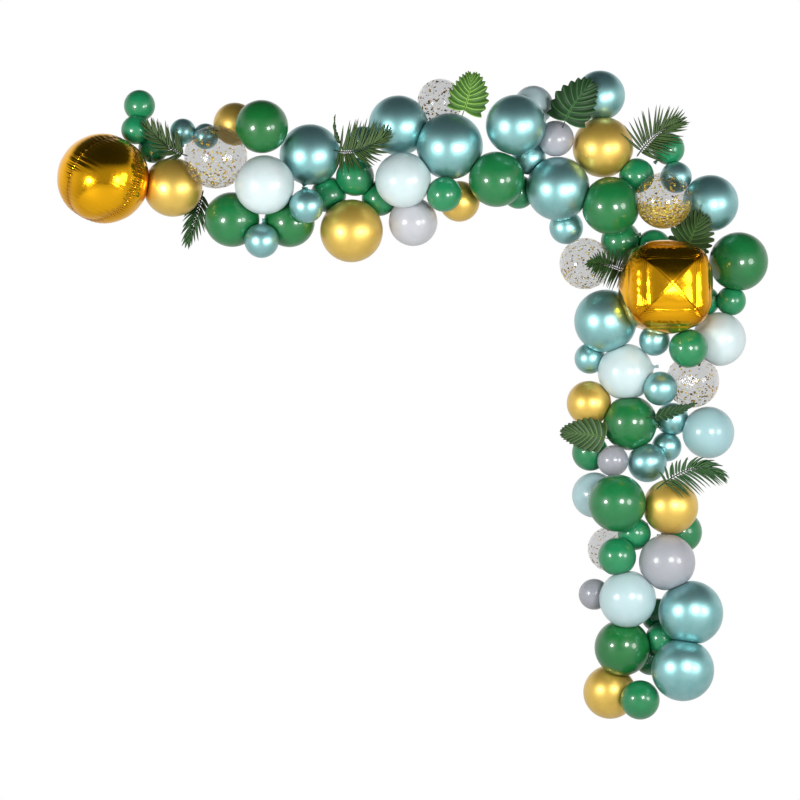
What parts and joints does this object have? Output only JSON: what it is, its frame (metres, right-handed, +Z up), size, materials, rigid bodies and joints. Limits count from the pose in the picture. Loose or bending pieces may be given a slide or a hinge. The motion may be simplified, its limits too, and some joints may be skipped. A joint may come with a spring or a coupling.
{
  "type": "balloon garland",
  "caption": "Bunched round balloons with foil accents and artificial leaves, hung along a wall's top edge and down one side to frame the space beside it.",
  "frame": {"origin": "on the wall, in the middle of the flat where the back balloon at the corner is stuck to it", "axes": "+X to the right along the wall, +Y into the wall, +Z up; the garland stands out from the wall towards -Y"},
  "size_m": [2.8441, 0.4195, 2.5991],
  "materials": {
    "green_latex": "glossy inflated natural latex, deep green",
    "teal_chrome_latex": "chrome-effect pearl latex, teal, satin metallic",
    "gold_chrome_latex": "chrome-effect pearl latex, gold, satin metallic",
    "mint_latex": "pastel mint latex, soft sheen",
    "grey_latex": "pale grey latex, soft sheen",
    "clear_latex": "clear latex with metallic foil confetti inside",
    "gold_foil": "mirror-gold metallised plastic film",
    "leaf": "artificial palm leaf, moulded and printed"
  },
  "bodies": {
    "root": {"gold_foil_globe": "gold_foil", "green_trio_left_tip": "green_latex", "teal_pair_left_tip": "teal_chrome_latex", "gold_balloon_left_tip": "gold_chrome_latex", "confetti_balloon_top_left": "clear_latex", "gold_balloon_top_1": "gold_chrome_latex", "green_balloon_top_1": "green_latex", "mint_balloon_top_1": "mint_latex", "green_balloon_top_2": "green_latex", "teal_balloon_top_1": "teal_chrome_latex", "green_balloon_top_3": "green_latex", "teal_balloon_top_2": "teal_chrome_latex", "teal_balloon_top_3": "teal_chrome_latex", "green_trio_top": "green_latex", "gold_balloon_top_2": "gold_chrome_latex", "teal_trio_top": "teal_chrome_latex", "mint_balloon_top_2": "mint_latex", "grey_balloon_top_1": "grey_latex", "confetti_balloon_top_middle": "clear_latex", "green_balloon_top_4": "green_latex", "gold_balloon_top_3": "gold_chrome_latex", "green_pair_top": "green_latex", "mint_balloon_top_3": "mint_latex", "teal_cluster_top_right": "teal_chrome_latex", "grey_balloon_top_2": "grey_latex", "teal_balloon_top_right": "teal_chrome_latex", "gold_balloon_top_right": "gold_chrome_latex", "green_cluster_corner": "green_latex", "green_balloon_corner": "green_latex", "teal_balloon_corner_1": "teal_chrome_latex", "confetti_balloon_corner_front": "clear_latex", "teal_balloon_corner_2": "teal_chrome_latex", "confetti_balloon_corner_back": "clear_latex", "green_trio_corner": "green_latex", "gold_foil_cube": "gold_foil", "teal_pair_side": "teal_chrome_latex", "mint_balloon_side_1": "mint_latex", "green_balloon_side_1": "green_latex", "teal_balloon_side_1": "teal_chrome_latex", "mint_balloon_side_2": "mint_latex", "confetti_balloon_side_1": "clear_latex", "teal_balloon_side_2": "teal_chrome_latex", "gold_balloon_side_1": "gold_chrome_latex", "green_balloon_side_2": "green_latex", "teal_trio_side": "teal_chrome_latex", "mint_balloon_side_3": "mint_latex", "green_balloon_side_3": "green_latex", "grey_balloon_side_1": "grey_latex", "mint_balloon_side_4": "mint_latex", "green_trio_side": "green_latex", "gold_balloon_side_2": "gold_chrome_latex", "green_balloon_side_4": "green_latex", "confetti_balloon_side_2": "clear_latex", "grey_balloon_side_2": "grey_latex", "grey_balloon_side_3": "grey_latex", "mint_balloon_side_5": "mint_latex", "teal_pair_foot": "teal_chrome_latex", "green_cluster_foot": "green_latex", "gold_balloon_foot": "gold_chrome_latex", "green_balloon_foot": "green_latex"}
  },
  "joints": []
}
